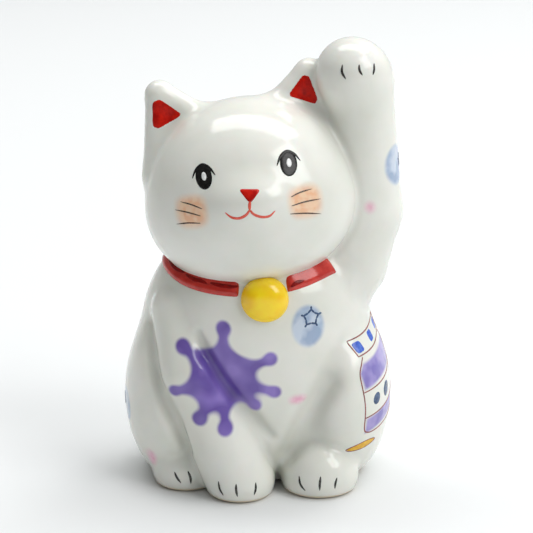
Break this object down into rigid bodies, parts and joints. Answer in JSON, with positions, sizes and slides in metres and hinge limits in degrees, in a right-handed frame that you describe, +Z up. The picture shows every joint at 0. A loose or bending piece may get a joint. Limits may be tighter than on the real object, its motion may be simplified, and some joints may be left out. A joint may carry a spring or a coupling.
{
  "type": "beckoning cat figurine",
  "caption": "Seated glazed porcelain cat with one forepaw raised, a red collar and a round bell, hollow cast, with a soft stopper under the base.",
  "frame": {"origin": "on the table, under the middle of the figurine's box", "axes": "+Z up, the cat faces -Y, +X towards its own left side, where the raised arm is"},
  "size_m": [0.0688, 0.0552, 0.109],
  "materials": {
    "glazed_porcelain": "gloss",
    "red_overglaze": "gloss",
    "yellow_overglaze": "gloss",
    "soft_stopper": "satin"
  },
  "bodies": {
    "figurine": {"torso_casting": "glazed_porcelain", "head_casting": "glazed_porcelain", "ear_left": "glazed_porcelain", "ear_right": "glazed_porcelain", "raised_arm": "glazed_porcelain", "lowered_foreleg": "glazed_porcelain", "hind_foot_left": "glazed_porcelain", "hind_foot_right": "glazed_porcelain", "tail": "glazed_porcelain", "collar_front": "red_overglaze", "collar_back": "red_overglaze", "bell": "yellow_overglaze"},
    "stopper": {"base_stopper": "soft_stopper"}
  },
  "joints": [
    {"name": "stopper_pull", "type": "slide", "parent": "figurine", "child": "stopper", "axis": [0, 0, -1], "range_m": [0, 0.008]}
  ]
}
